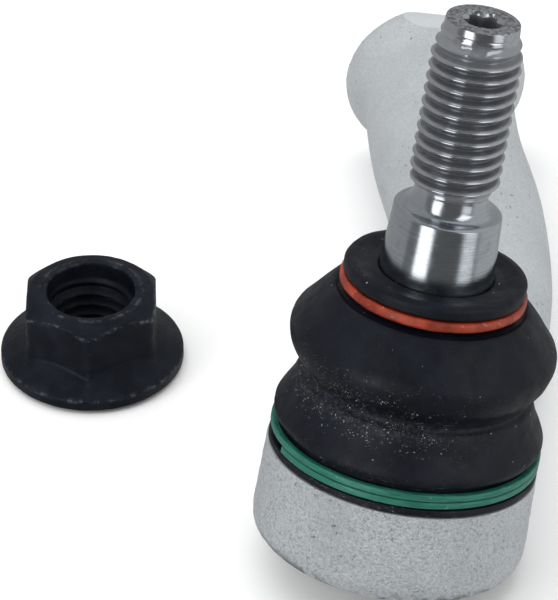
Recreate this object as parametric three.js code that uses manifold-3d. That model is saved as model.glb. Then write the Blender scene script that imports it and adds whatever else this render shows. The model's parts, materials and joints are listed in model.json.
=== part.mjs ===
// Tie rod end with its loose flange nut. Millimetres, +Z up, lying as it rests on a bench.
// Ball joint frame: origin at the ball centre, +Z out of the housing mouth, arm towards +Y.
import * as THREE from 'three';
import { mergeVertices } from 'three/addons/utils/BufferGeometryUtils.js';
import Module from 'manifold-3d';

const wasm = await Module();
wasm.setup();
const { Manifold, Mesh } = wasm;

// Running and assembly gaps
const GAP = 0.3;
const BALL_GAP = 0.25;

// Ball stud
const BALL_R = 11;
const BALL_FLAT_Z = -10.2;
const NECK_R = 6.2;
const NECK_TOP_Z = 14;
const LAND_R = 8.2;
const LAND_Z = 19.5;
const TAPER_START_Z = 22;
const TAPER_END_Z = 35.5;
const TAPER_END_R = 7.15;
const TAPER_PER_MM = 0.05;
const RELIEF_R = 4.9;
const RELIEF_START_Z = 37.6;
const THREAD_START_Z = 39.2;
const THREAD_END_Z = 61;
const TIP_Z = 62.4;
const TIP_R = 4.85;
const RECESS_R = 2.8;
const RECESS_WAIST_R = 2.05;
const RECESS_DEPTH = 4.2;

// M12 x 1.75 thread, stud and nut
const THREAD_R = 6;
const THREAD_ROOT_R = 4.95;
const THREAD_PITCH = 1.75;
const NUT_THREAD_ALLOWANCE = 0.12;

// Housing
const HOUSING_BOTTOM_Z = -14;
const RIM_Z = -0.5;
const HOUSING_R = 18.35;
const HOUSING_EDGE_R = 4.2;
const RIM_R = 18;
const COLLAR_R = 14.9;
const COLLAR_TOP_Z = 6;
const SEAT_BORE_R = 13.4;
const SEAT_BORE_TOP_Z = 1.4;
const MOUTH_R = 10.4;
const MOUTH_Z = 5;
const CAP_BORE_R = 14.9;
const CAP_SHOULDER_Z = -12;
const SPOT_FACE_R = 19.7;

// Arm and its threaded end
const ARM_LENGTH = 88;
const ARM_BOW_STATIONS = [[0, 0], [20, 6], [40, 8.7], [58, 7.2], [74, 3.1], [88, 1]];
const ARM_START_Z = -7.3;
const ARM_RISE = 21.4;
const ARM_HALF_WIDTH = 10.9;
const ARM_ROOT_HALF_HEIGHT = 6.6;
const ARM_STATIONS = 14;
const ARM_SIDES = 26;
const HEAD_ROOT = -5;
const HEAD_FLARE_START = -1.5;
const HEAD_FLARE_END = 2.9;
const HEAD_LENGTH = 4.5;
const HEAD_R = 13.3;
const HEAD_EDGE_R = 1.1;
const WRENCH_FLAT_HALF = 11.2;
const WRENCH_FLAT_LENGTH = 4.1;
const ROD_BORE_R = 6.4;
const ROD_BORE_DEPTH = 30;
const ROD_BORE_CHAMFER = 1.2;

// Closing cap, preload spring and ball seats
const CAP_THICKNESS = 1.7;
const SPRING_THICKNESS = 0.7;
const SPRING_INNER_R = 10;
const SPRING_OUTER_R = 12.6;
const SEAT_SPLIT_Z = -0.6;
const UPPER_SEAT_TOP_Z = 4.7;
const LOWER_SEAT_BOTTOM_Z = -10.4;

// Boot and its rings
const BOOT_LIP_R = 12.1;
const LIP_TOP_Z = 27;
const CLAMP_GROOVE_R = 10.9;
const UPPER_RING_Z = 24.25;
const UPPER_RING_HALF_HEIGHT = 0.72;
const LOWER_RING_INNER_R = 17.15;
const LOWER_RING_OUTER_R = 18.05;
const LOWER_RING_START_Z = 0.68;
const LOWER_RING_STRIP = 0.94;
const LOWER_RING_PITCH = 1.02;
const LOWER_RING_TURNS = 1.78;
const LOWER_RING_START_DEG = 206;
const LIP_INSERT_INNER_R = 9.05;
const LIP_INSERT_OUTER_R = 9.85;
const BASE_INSERT_OUTER_R = 15.95;
const BASE_INSERT_TOP_Z = 4.5;

// Flange nut
const NUT_ACROSS_FLATS = 18;
const NUT_HEIGHT = 12;
const FLANGE_R = 12.87;
const FLANGE_EDGE = 2.2;
const FLANGE_TOP_Z = 4.5;
const FLANGE_TOP_R = 9.3;
const NUT_CROWN_R = 7.2;
const NUT_SHOULDER_R = 8.7;
const NUT_SHOULDER_DROP = 0.28;
const NUT_CORNER_SLOPE = 0.8;
const NUT_CHAMFER_R = 6.2;

// How the pieces lie on the bench
const REST_YAW_DEG = -2.5;
const REST_PITCH_DEG = -11.6;
const REST_ROLL_DEG = 8.4;
const NUT_OFFSET = new THREE.Vector2(-42.76, 41.75);
const NUT_TURN_DEG = 0;

const SIDES = 32;
const BALL_SIDES = 28;
const THREAD_SIDES = 18;

// ---- solids --------------------------------------------------------------

function toSolid(geometry) {
  const bare = geometry.clone();
  bare.deleteAttribute('normal');
  bare.deleteAttribute('uv');
  const merged = mergeVertices(bare, 1e-5);
  const position = merged.attributes.position;
  const index = merged.index.array;
  const triangles = [];
  let volume = 0;
  const [a, b, c] = [new THREE.Vector3(), new THREE.Vector3(), new THREE.Vector3()];
  for (let i = 0; i < index.length; i += 3) {
    const [p, q, r] = [index[i], index[i + 1], index[i + 2]];
    if (p === q || q === r || r === p) continue;
    triangles.push([p, q, r]);
    a.fromBufferAttribute(position, p);
    b.fromBufferAttribute(position, q);
    c.fromBufferAttribute(position, r);
    volume += a.dot(b.cross(c));
  }
  const outward = volume < 0 ? triangles.map(([p, q, r]) => [p, r, q]) : triangles;
  return new Manifold(new Mesh({
    numProp: 3,
    vertProperties: new Float32Array(position.array),
    triVerts: new Uint32Array(outward.flat()),
  }));
}

function toGeometry(solid) {
  const mesh = solid.getMesh();
  const geometry = new THREE.BufferGeometry();
  geometry.setAttribute('position', new THREE.BufferAttribute(new Float32Array(mesh.vertProperties), 3));
  geometry.setIndex(new THREE.BufferAttribute(new Uint32Array(mesh.triVerts), 1));
  geometry.computeVertexNormals();
  return geometry;
}

// A profile is a list of [radius, z] or [radius, z, corner radius] points.
function roundCorners(profile, steps = 2) {
  const out = [];
  profile.forEach(([x, y, corner], i) => {
    if (!corner) {
      out.push(new THREE.Vector2(x, y));
      return;
    }
    const here = new THREE.Vector2(x, y);
    const before = new THREE.Vector2(...profile[(i + profile.length - 1) % profile.length]).sub(here);
    const after = new THREE.Vector2(...profile[(i + 1) % profile.length]).sub(here);
    const half = Math.abs(before.angleTo(after)) / 2;
    const reach = corner / Math.tan(half);
    const start = here.clone().add(before.setLength(reach));
    const end = here.clone().add(after.setLength(reach));
    const centre = here.clone().add(
      before.clone().normalize().add(after.clone().normalize()).setLength(corner / Math.sin(half)),
    );
    for (let k = 0; k <= steps; k += 1) {
      const spoke = start.clone().lerp(end, k / steps).sub(centre).setLength(corner);
      out.push(centre.clone().add(spoke));
    }
  });
  return out;
}

function turned(profile, sides = SIDES, closed = false) {
  const points = roundCorners(profile);
  if (closed) points.push(points[0].clone());
  const geometry = new THREE.LatheGeometry(points, sides);
  geometry.rotateX(Math.PI / 2);
  return toSolid(geometry);
}

const ring = (profile, sides = SIDES) => turned(profile, sides, true);

function cylinder(radius, low, high, sides = SIDES) {
  return turned([[0, low], [radius, low], [radius, high], [0, high]], sides);
}

function prism(outline, low, high) {
  const geometry = new THREE.ExtrudeGeometry(new THREE.Shape(outline), {
    depth: high - low,
    bevelEnabled: false,
  });
  geometry.translate(0, 0, low);
  return toSolid(geometry);
}

// Skins a list of equal-sized point rings and closes both ends.
function skinned(rings) {
  const sides = rings[0].length;
  const points = rings.flat();
  const faces = [];
  for (let i = 0; i + 1 < rings.length; i += 1) {
    for (let j = 0; j < sides; j += 1) {
      const k = (j + 1) % sides;
      faces.push(i * sides + j, i * sides + k, (i + 1) * sides + k);
      faces.push(i * sides + j, (i + 1) * sides + k, (i + 1) * sides + j);
    }
  }
  const last = (rings.length - 1) * sides;
  const middle = (list) => list.reduce((sum, p) => sum.add(p), new THREE.Vector3()).divideScalar(sides);
  points.push(middle(rings[0]), middle(rings[rings.length - 1]));
  for (let j = 0; j < sides; j += 1) {
    const k = (j + 1) % sides;
    faces.push(points.length - 2, k, j);
    faces.push(points.length - 1, last + j, last + k);
  }
  const geometry = new THREE.BufferGeometry().setFromPoints(points);
  geometry.setIndex(faces);
  return toSolid(geometry);
}

// One right-hand screw: crest and root lands joined by flanks, wound as a single helix.
function screw(crestR, rootR, pitch, low, high, sides = THREAD_SIDES) {
  const knots = [[0, rootR], [0.14, rootR], [0.5, crestR], [0.64, crestR]];
  const turns = Math.ceil((high - low) / pitch) + 1;
  const count = turns * sides;
  const points = [];
  for (let k = 0; k <= count + sides; k += 1) {
    const angle = (k / sides) * 2 * Math.PI;
    for (const [phase, radius] of knots) {
      const z = low + (k / sides - 1 + phase) * pitch;
      points.push(new THREE.Vector3(radius * Math.cos(angle), radius * Math.sin(angle), z));
    }
  }
  const at = (k, m) => (m < knots.length ? k * knots.length + m : (k + sides) * knots.length);
  const faces = [];
  for (let k = 0; k < count; k += 1) {
    for (let m = 0; m < knots.length; m += 1) {
      faces.push(at(k, m), at(k + 1, m), at(k + 1, m + 1));
      faces.push(at(k, m), at(k + 1, m + 1), at(k, m + 1));
    }
  }
  const bottom = points.push(new THREE.Vector3(0, 0, low - 2 * pitch)) - 1;
  const top = points.push(new THREE.Vector3(0, 0, low + (turns + 1) * pitch)) - 1;
  for (let j = 0; j < sides; j += 1) {
    faces.push(bottom, at(j + 1, 0), at(j, 0));
    faces.push(top, at(count + j, 0), at(count + j + 1, 0));
  }
  for (let m = 0; m < knots.length; m += 1) {
    faces.push(bottom, at(0, m), at(0, m + 1));
    faces.push(top, at(count, m + 1), at(count, m));
  }
  const geometry = new THREE.BufferGeometry().setFromPoints(points);
  geometry.setIndex(faces);
  return toSolid(geometry);
}

// ---- ball stud -----------------------------------------------------------

function arc(radius, from, to, steps) {
  return Array.from({ length: steps + 1 }, (_, i) => {
    const angle = from + ((to - from) * i) / steps;
    return [radius * Math.cos(angle), radius * Math.sin(angle)];
  });
}

const taperRadius = (z) => TAPER_END_R + (TAPER_END_Z - z) * TAPER_PER_MM;

function lobedOutline(outer, waist, lobes = 6, perLobe = 4) {
  return Array.from({ length: lobes * perLobe }, (_, i) => {
    const angle = (i / (lobes * perLobe)) * 2 * Math.PI;
    const swell = (1 + Math.cos(lobes * angle)) / 2;
    const radius = waist + (outer - waist) * swell;
    return new THREE.Vector2(radius * Math.cos(angle), radius * Math.sin(angle));
  });
}

function ballStud() {
  const ballTop = Math.acos(NECK_R / BALL_R);
  const shank = turned([
    [0, BALL_FLAT_Z],
    ...arc(BALL_R, Math.asin(BALL_FLAT_Z / BALL_R), ballTop, 11),
    [NECK_R, NECK_TOP_Z, 4],
    [LAND_R, LAND_Z, 1],
    [LAND_R, TAPER_START_Z - 0.4],
    [taperRadius(TAPER_START_Z), TAPER_START_Z],
    [TAPER_END_R, TAPER_END_Z, 0.3],
    [RELIEF_R + 0.9, RELIEF_START_Z - 1, 0.6],
    [RELIEF_R, RELIEF_START_Z],
    [RELIEF_R, THREAD_START_Z],
    [0, THREAD_START_Z],
  ], BALL_SIDES);
  const envelope = turned([
    [0, RELIEF_START_Z],
    [RELIEF_R, RELIEF_START_Z],
    [RELIEF_R, THREAD_START_Z - 0.8],
    [THREAD_R + 0.2, THREAD_START_Z + 0.5],
    [THREAD_R + 0.2, THREAD_END_Z - 0.4],
    [TIP_R + 0.25, THREAD_END_Z + 0.7],
    [TIP_R, TIP_Z],
    [0, TIP_Z],
  ], THREAD_SIDES);
  const pilot = turned([
    [0, THREAD_END_Z - 1],
    [THREAD_ROOT_R, THREAD_END_Z - 1],
    [TIP_R, TIP_Z],
    [0, TIP_Z],
  ], THREAD_SIDES);
  const thread = screw(THREAD_R, THREAD_ROOT_R, THREAD_PITCH, THREAD_START_Z - 1, TIP_Z)
    .intersect(envelope)
    .subtract(cylinder(THREAD_R + 1, THREAD_END_Z + 0.5, TIP_Z + 1));
  const recess = prism(lobedOutline(RECESS_R, RECESS_WAIST_R), TIP_Z - RECESS_DEPTH, TIP_Z + 1)
    .add(turned([[0, TIP_Z - 0.5], [RECESS_WAIST_R, TIP_Z - 0.5], [RECESS_R + 0.2, TIP_Z + 0.3], [0, TIP_Z + 0.3]], 24));
  return shank.add(thread).add(pilot).subtract(recess);
}

// ---- housing with arm ----------------------------------------------------

const armBow = new THREE.SplineCurve(ARM_BOW_STATIONS.map(([y, x]) => new THREE.Vector2(x, y)));

function armCentre(t) {
  const { x, y } = armBow.getPoint(t);
  return new THREE.Vector3(x, y, ARM_START_Z + (ARM_RISE * y) / ARM_LENGTH);
}

function armFrame(t) {
  const step = 0.004;
  const before = armCentre(Math.max(t - step, 0));
  const ahead = armCentre(Math.min(t + step, 1)).sub(before).normalize();
  const side = new THREE.Vector3().crossVectors(ahead, new THREE.Vector3(0, 0, 1)).normalize();
  const up = new THREE.Vector3().crossVectors(side, ahead);
  return { ahead, side, up };
}

function armHalfHeight(t) {
  const grown = THREE.MathUtils.smoothstep(t, 0.1, 0.62);
  return ARM_ROOT_HALF_HEIGHT + (ARM_HALF_WIDTH - ARM_ROOT_HALF_HEIGHT) * grown;
}

function ovalRing(centre, { side, up }, halfWidth, halfHeight, squareness) {
  return Array.from({ length: ARM_SIDES }, (_, i) => {
    const angle = ((i + 0.5) / ARM_SIDES) * 2 * Math.PI;
    const bulge = (value) => Math.sign(value) * Math.abs(value) ** squareness;
    return centre.clone()
      .addScaledVector(side, halfWidth * bulge(Math.cos(angle)))
      .addScaledVector(up, halfHeight * bulge(Math.sin(angle)));
  });
}

function arm() {
  const rings = [];
  for (let i = 0; i <= ARM_STATIONS; i += 1) {
    const t = i / ARM_STATIONS;
    const squareness = THREE.MathUtils.lerp(0.75, 1, THREE.MathUtils.smoothstep(t, 0.1, 0.6));
    rings.push(ovalRing(armCentre(t), armFrame(t), ARM_HALF_WIDTH, armHalfHeight(t), squareness));
  }
  return skinned(rings);
}

const headPose = (() => {
  const { ahead, side, up } = armFrame(1);
  return new THREE.Matrix4().makeBasis(side, up, ahead).setPosition(armCentre(1));
})();

function posed(profile, matrix, sides = SIDES) {
  const geometry = new THREE.LatheGeometry(roundCorners(profile), sides);
  geometry.rotateX(Math.PI / 2);
  geometry.applyMatrix4(matrix);
  return toSolid(geometry);
}

function armHead() {
  const swell = posed([
    [0, HEAD_ROOT],
    [ARM_HALF_WIDTH - 1.2, HEAD_ROOT],
    [ARM_HALF_WIDTH, HEAD_FLARE_START, 1],
    [HEAD_R, HEAD_FLARE_END, 0.6],
    [HEAD_R, HEAD_LENGTH, HEAD_EDGE_R],
    [0, HEAD_LENGTH],
  ], headPose);
  const flatCutter = (sign) => {
    const reach = HEAD_R + 2;
    const geometry = new THREE.BoxGeometry(3 * HEAD_R, reach, WRENCH_FLAT_LENGTH * 2);
    geometry.translate(0, sign * (WRENCH_FLAT_HALF + reach / 2), HEAD_LENGTH);
    geometry.applyMatrix4(headPose);
    return toSolid(geometry);
  };
  return swell.subtract(flatCutter(1)).subtract(flatCutter(-1));
}

function housing() {
  const body = turned([
    [0, HOUSING_BOTTOM_Z],
    [HOUSING_R, HOUSING_BOTTOM_Z, HOUSING_EDGE_R],
    [HOUSING_R, -8.5],
    [RIM_R, RIM_Z, 0.4],
    [COLLAR_R, RIM_Z],
    [COLLAR_R, COLLAR_TOP_Z, 0.5],
    [0, COLLAR_TOP_Z],
  ]);
  const spotFace = ring([
    [COLLAR_R, RIM_Z],
    [SPOT_FACE_R, RIM_Z, 0.6],
    [SPOT_FACE_R + 1.5, 12],
    [COLLAR_R, 12],
  ]);
  const cavity = turned([
    [0, HOUSING_BOTTOM_Z - 1],
    [CAP_BORE_R, HOUSING_BOTTOM_Z - 1],
    [CAP_BORE_R, CAP_SHOULDER_Z],
    [SEAT_BORE_R, CAP_SHOULDER_Z],
    [SEAT_BORE_R, SEAT_BORE_TOP_Z],
    [MOUTH_R + 0.5, MOUTH_Z],
    [MOUTH_R, MOUTH_Z],
    [MOUTH_R, COLLAR_TOP_Z - 0.4],
    [MOUTH_R + 0.4, COLLAR_TOP_Z + 1],
    [0, COLLAR_TOP_Z + 1],
  ]);
  const rodBore = posed([
    [0, HEAD_LENGTH - ROD_BORE_DEPTH - ROD_BORE_R / 2],
    [ROD_BORE_R, HEAD_LENGTH - ROD_BORE_DEPTH],
    [ROD_BORE_R, HEAD_LENGTH - ROD_BORE_CHAMFER],
    [ROD_BORE_R + ROD_BORE_CHAMFER + 1, HEAD_LENGTH + 1],
    [0, HEAD_LENGTH + 1],
  ], headPose, 28);
  return body.add(arm().add(armHead()).subtract(spotFace)).subtract(cavity).subtract(rodBore);
}

function closingCap() {
  const low = HOUSING_BOTTOM_Z + 0.2;
  return turned([
    [0, low + 0.5],
    [8, low + 0.5],
    [9.2, low],
    [CAP_BORE_R - GAP, low],
    [CAP_BORE_R - GAP, low + CAP_THICKNESS],
    [9, low + CAP_THICKNESS],
    [8, low + CAP_THICKNESS + 0.2],
    [0, low + CAP_THICKNESS + 0.2],
  ]);
}

function preloadSpring() {
  const low = HOUSING_BOTTOM_Z + 0.2 + CAP_THICKNESS + GAP;
  return ring([
    [SPRING_INNER_R, low],
    [SPRING_OUTER_R, low],
    [SPRING_OUTER_R, low + SPRING_THICKNESS],
    [SPRING_INNER_R, low + SPRING_THICKNESS],
  ]);
}

function seatArc(low, high, steps) {
  const radius = BALL_R + BALL_GAP;
  return arc(radius, Math.asin(low / radius), Math.asin(high / radius), steps);
}

function ballSeatUpper() {
  const outer = SEAT_BORE_R - GAP;
  return ring([
    ...seatArc(SEAT_SPLIT_Z + GAP / 2, UPPER_SEAT_TOP_Z, 5),
    [MOUTH_R + 0.1, UPPER_SEAT_TOP_Z],
    [outer, SEAT_BORE_TOP_Z - 0.2],
    [outer, SEAT_SPLIT_Z + GAP / 2],
  ]);
}

function ballSeatLower() {
  const outer = SEAT_BORE_R - GAP;
  return ring([
    ...seatArc(LOWER_SEAT_BOTTOM_Z + 1.4, SEAT_SPLIT_Z - GAP / 2, 8),
    [outer, SEAT_SPLIT_Z - GAP / 2],
    [outer, LOWER_SEAT_BOTTOM_Z, 0.8],
    [6.6, LOWER_SEAT_BOTTOM_Z],
  ]);
}

// ---- boot and rings ------------------------------------------------------

function smooth(points, steps) {
  const curve = new THREE.SplineCurve(points.map(([x, y]) => new THREE.Vector2(x, y)));
  return curve.getPoints(steps).map((p) => [p.x, p.y]);
}

function dustBoot() {
  const upperBulge = smooth([[12.3, 22.8], [13.4, 22.6], [16.3, 19.2], [17.7, 17], [17.1, 14.1], [15.5, 12]], 8);
  const lowerBulge = smooth([[15.7, 10.3], [16.4, 8.2], [17.4, 6.3], [18, 4.8], [17.7, 3.8]], 6);
  const lowerInside = smooth([[15.3, 5.6], [16.2, 6.3], [15.6, 8], [14, 9.4], [13.2, 10.8]], 4);
  const upperInside = smooth([[13.6, 12], [15.3, 13.8], [16.1, 16.8], [15, 19.3], [13.2, 21.1], [10.9, 21.6]], 5);
  return ring([
    [8.05, 26.2],
    [9.5, LIP_TOP_Z],
    [BOOT_LIP_R, LIP_TOP_Z, 0.5],
    [BOOT_LIP_R, 25.2],
    [CLAMP_GROOVE_R, 25.2],
    [CLAMP_GROOVE_R, 23.3],
    ...upperBulge,
    [14.9, 10.9],
    ...lowerBulge,
    [16.85, 3.5],
    [16.85, RIM_Z + 1.15],
    [RIM_R, RIM_Z + 1.15],
    [RIM_R, RIM_Z + 0.2],
    [16.25, RIM_Z + 0.2],
    [16.25, BASE_INSERT_TOP_Z + GAP],
    [15.25, BASE_INSERT_TOP_Z + GAP],
    ...lowerInside,
    ...upperInside,
    [LIP_INSERT_OUTER_R + GAP, 21.6],
    [LIP_INSERT_OUTER_R + GAP, 24.5],
    [LIP_INSERT_INNER_R - GAP, 24.5],
    [LIP_INSERT_INNER_R - GAP, 22.3],
    [8.25, 22.3],
    [8, 24.4],
  ], BALL_SIDES);
}

function upperClampRing() {
  const [inner, outer] = [CLAMP_GROOVE_R + 0.2, 12.4];
  const [low, high] = [UPPER_RING_Z - UPPER_RING_HALF_HEIGHT, UPPER_RING_Z + UPPER_RING_HALF_HEIGHT];
  return ring([[inner, low], [outer, low, 0.5], [outer, high, 0.5], [inner, high]]);
}

function lowerClampRing() {
  const segments = Math.round(LOWER_RING_TURNS * SIDES);
  const rings = Array.from({ length: segments + 1 }, (_, i) => {
    const angle = (i / segments) * LOWER_RING_TURNS * 2 * Math.PI;
    const turn = THREE.MathUtils.degToRad(LOWER_RING_START_DEG) + angle;
    const low = LOWER_RING_START_Z + (angle / (2 * Math.PI)) * LOWER_RING_PITCH;
    const corner = (radius, z) => new THREE.Vector3(radius * Math.cos(turn), radius * Math.sin(turn), z);
    return [
      corner(LOWER_RING_INNER_R, low),
      corner(LOWER_RING_OUTER_R, low),
      corner(LOWER_RING_OUTER_R, low + LOWER_RING_STRIP),
      corner(LOWER_RING_INNER_R, low + LOWER_RING_STRIP),
    ];
  });
  return skinned(rings);
}

function bootLipInsert() {
  return ring([
    [LIP_INSERT_INNER_R, 21.7],
    [LIP_INSERT_OUTER_R, 21.7],
    [LIP_INSERT_OUTER_R, 24.2],
    [LIP_INSERT_INNER_R, 24.2],
  ]);
}

function bootBaseInsert() {
  return ring([
    [COLLAR_R + 0.25, RIM_Z + 0.3],
    [BASE_INSERT_OUTER_R, RIM_Z + 0.3],
    [BASE_INSERT_OUTER_R, BASE_INSERT_TOP_Z],
    [COLLAR_R + 0.25, BASE_INSERT_TOP_Z],
  ]);
}

// ---- flange nut ----------------------------------------------------------

function flangeNut() {
  const cornerR = NUT_ACROSS_FLATS / Math.sqrt(3);
  const corners = Array.from({ length: 6 }, (_, i) => {
    const angle = ((i + 0.5) / 6) * 2 * Math.PI;
    return new THREE.Vector2(cornerR * Math.cos(angle), cornerR * Math.sin(angle));
  });
  const crown = turned([
    [0, 0],
    [cornerR + 1, 0],
    [cornerR + 1, NUT_HEIGHT - NUT_SHOULDER_DROP - (cornerR + 1 - NUT_SHOULDER_R) * NUT_CORNER_SLOPE],
    [NUT_SHOULDER_R, NUT_HEIGHT - NUT_SHOULDER_DROP],
    [NUT_CROWN_R, NUT_HEIGHT],
    [0, NUT_HEIGHT],
  ]);
  const flange = turned([
    [0, 0],
    [FLANGE_R - 0.9, 0, 0.3],
    [FLANGE_R, 0.6, 0.4],
    [FLANGE_R, FLANGE_EDGE, 0.5],
    [FLANGE_TOP_R, FLANGE_TOP_Z],
    [0, FLANGE_TOP_Z],
  ]);
  const grow = NUT_THREAD_ALLOWANCE;
  const tapped = screw(THREAD_R + grow, THREAD_ROOT_R + grow, THREAD_PITCH, -1, NUT_HEIGHT + 1)
    .intersect(cylinder(THREAD_R + 1, -1, NUT_HEIGHT + 1));
  const leadIn = (z, outward) => turned([
    [0, z - outward * 2.2],
    [THREAD_ROOT_R - 0.3, z - outward * 1.6],
    [NUT_CHAMFER_R, z],
    [NUT_CHAMFER_R + 0.4, z + outward * 0.4],
    [0, z + outward * 0.4],
  ]);
  return prism(corners, 1, NUT_HEIGHT)
    .intersect(crown)
    .add(flange)
    .subtract(tapped)
    .subtract(leadIn(NUT_HEIGHT, 1))
    .subtract(leadIn(0, -1));
}

// ---- assembly ------------------------------------------------------------

function piece(name, solid, color, roughness, metalness) {
  const material = new THREE.MeshStandardMaterial({ color, roughness, metalness });
  const mesh = new THREE.Mesh(toGeometry(solid), material);
  mesh.name = name;
  return mesh;
}

const rodEnd = new THREE.Group();
rodEnd.name = 'rod_end';
rodEnd.add(
  piece('housing', housing(), '#aab0b3', 0.55, 0.8),
  piece('closing_cap', closingCap(), '#a2a7aa', 0.45, 0.85),
  piece('preload_spring', preloadSpring(), '#5b6066', 0.4, 0.9),
  piece('ball_seat_lower', ballSeatLower(), '#d8d2c2', 0.5, 0),
  piece('ball_seat_upper', ballSeatUpper(), '#d8d2c2', 0.5, 0),
  piece('ball_stud', ballStud(), '#8e9499', 0.28, 1),
  piece('dust_boot', dustBoot(), '#202329', 0.62, 0),
  piece('upper_clamp_ring', upperClampRing(), '#b44a2c', 0.4, 0),
  piece('lower_clamp_ring', lowerClampRing(), '#2f8d6e', 0.45, 0),
  piece('boot_lip_insert', bootLipInsert(), '#7b8084', 0.4, 0.9),
  piece('boot_base_insert', bootBaseInsert(), '#7b8084', 0.4, 0.9),
);
const toRad = THREE.MathUtils.degToRad;
rodEnd.rotation.set(toRad(REST_PITCH_DEG), toRad(REST_ROLL_DEG), toRad(REST_YAW_DEG), 'ZXY');
rodEnd.updateMatrixWorld(true);
rodEnd.position.z = -new THREE.Box3().setFromObject(rodEnd, true).min.z;

const nut = piece('flange_nut', flangeNut(), '#23272d', 0.45, 0.6);
nut.rotation.z = toRad(NUT_TURN_DEG);
nut.position.set(NUT_OFFSET.x, NUT_OFFSET.y, 0);

const assembly = new THREE.Group();
assembly.name = 'tie_rod_end';
assembly.add(rodEnd, nut);
assembly.updateMatrixWorld(true);
const span = new THREE.Box3().setFromObject(assembly, true);
assembly.position.set(-(span.min.x + span.max.x) / 2, -(span.min.y + span.max.y) / 2, -span.min.z);
assembly.updateMatrixWorld(true);

export default assembly;
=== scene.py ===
"""Looks of the tie rod end and its flange nut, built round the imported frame."""
import json
import math

import bpy
import numpy as np
from mathutils import Euler, Matrix, Vector


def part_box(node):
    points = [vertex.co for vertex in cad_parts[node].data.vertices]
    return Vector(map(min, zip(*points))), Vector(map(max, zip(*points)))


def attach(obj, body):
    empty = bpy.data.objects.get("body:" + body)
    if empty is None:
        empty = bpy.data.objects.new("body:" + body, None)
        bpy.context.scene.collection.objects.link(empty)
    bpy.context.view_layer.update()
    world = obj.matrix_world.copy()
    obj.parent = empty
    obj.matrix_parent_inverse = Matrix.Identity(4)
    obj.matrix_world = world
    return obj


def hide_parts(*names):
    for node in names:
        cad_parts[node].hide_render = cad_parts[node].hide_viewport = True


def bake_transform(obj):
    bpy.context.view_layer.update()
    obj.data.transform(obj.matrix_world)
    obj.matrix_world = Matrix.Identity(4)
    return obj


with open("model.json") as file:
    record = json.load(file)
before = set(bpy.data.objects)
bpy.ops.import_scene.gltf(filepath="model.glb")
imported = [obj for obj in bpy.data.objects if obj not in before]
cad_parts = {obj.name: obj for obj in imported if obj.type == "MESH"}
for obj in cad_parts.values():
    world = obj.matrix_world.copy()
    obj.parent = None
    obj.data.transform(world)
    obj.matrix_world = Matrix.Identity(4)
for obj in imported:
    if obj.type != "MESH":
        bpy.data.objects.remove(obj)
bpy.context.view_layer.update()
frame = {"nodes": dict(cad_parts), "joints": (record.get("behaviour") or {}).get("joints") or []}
scene = bpy.context.scene

# ---- where the pieces are --------------------------------------------------

MM = 0.001
JOINTS = {j["name"]: j for j in frame["joints"]}
BALL = Vector(JOINTS["swing_direction"]["pos_m"])
AXIS_Z = Vector(JOINTS["swing_direction"]["axis"]).normalized()
AXIS_X = Vector(JOINTS["stud_tilt"]["axis"]).normalized()
AXIS_Y = AXIS_Z.cross(AXIS_X)
TURN = Matrix((AXIS_X, AXIS_Y, AXIS_Z)).transposed()
LOCAL = Matrix.Translation(BALL) @ TURN.to_4x4() @ Matrix.Scale(MM, 4)
NUT_LOW, NUT_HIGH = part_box("flange_nut")
NUT_CENTRE = Vector(((NUT_LOW.x + NUT_HIGH.x) / 2, (NUT_LOW.y + NUT_HIGH.y) / 2, NUT_LOW.z))
NUT = Matrix.Translation(NUT_CENTRE) @ Matrix.Scale(MM, 4)

# Millimetres in the ball joint frame: origin at the ball centre, +Z along the stud, arm towards +Y.
# THREAD_TURN is in turns and BRUISE_ANGLE in radians, both round the stud
BALL_R = 11
BALL_FLAT_Z = -10.2
NECK_R = 6.2
NECK_TOP_Z = 14
NECK_FILLET_R = 4
LAND_R = 8.2
LAND_LOW_Z = 19.5
LAND_HIGH_Z = 21.6
TAPER_START_Z = 22
TAPER_END_Z = 35.5
TAPER_END_R = 7.15
TAPER_PER_MM = 0.05
RELIEF_R = 4.9
THREAD_START_Z = 38.3
THREAD_END_Z = 61.0
THREAD_FADE_START_Z = 57.0
THREAD_FADE_END_Z = 60.4
BRUISE_ANGLE = 4.6
TIP_Z = 62.4
TIP_R = 4.85
RECESS_R = 2.8
RECESS_WAIST_R = 2.05
RECESS_DEPTH = 4.2
THREAD_R = 6
THREAD_ROOT_R = 4.95
THREAD_PITCH = 1.75
THREAD_TURN = 0.24
RIM_Z = -0.5
CUTTING_SPARE = 1.5
HOUSING_R = 18.35
HOUSING_TOP_R = 18.05
HOUSING_SIDE_Z = -8.5
HOUSING_BOTTOM_Z = -14
HOUSING_EDGE_R = 2.7
COLLAR_R = 14.9
COLLAR_TOP_Z = 6
CAP_BORE_R = 14.9
CAP_SHOULDER_Z = -12
CRIMP_R = 13.4
SEAT_BORE_R = 13.4
SEAT_BORE_TOP_Z = 1.4
THROAT_R = 10.4
THROAT_Z = 5
MOUTH_R = 10.9
SPOT_FACE_R = 19.7
ARM_LENGTH = 88
ARM_BOW = [(0, 0), (6, 20), (8.7, 40), (7.2, 58), (3.1, 74), (1, 88)]
ARM_START_Z = -7.3
ARM_RISE = 21.4
ARM_HALF_WIDTH = 10.9
ARM_ROOT_HALF_HEIGHT = 6.6

# Millimetres in the head's frame: origin at the end of the arm's centre line, +Z away from the housing
HEAD_ROOT_Z = -5
HEAD_FLARE_START_Z = -1.5
HEAD_FLARE_END_Z = 2.9
HEAD_LENGTH = 4.5
HEAD_R = 13.3
HEAD_EDGE_R = 0.8
WRENCH_FLAT_HALF = 11.2
WRENCH_FLAT_LENGTH = 4.1
ROD_THREAD_MINOR_R = 6.3
ROD_THREAD_MAJOR_R = 7.05
ROD_THREAD_PITCH = 1.5
ROD_BORE_DEPTH = 30

# The radius at which the outline of a solid turned shape starts and ends
AXIS_R = 1.0

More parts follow.
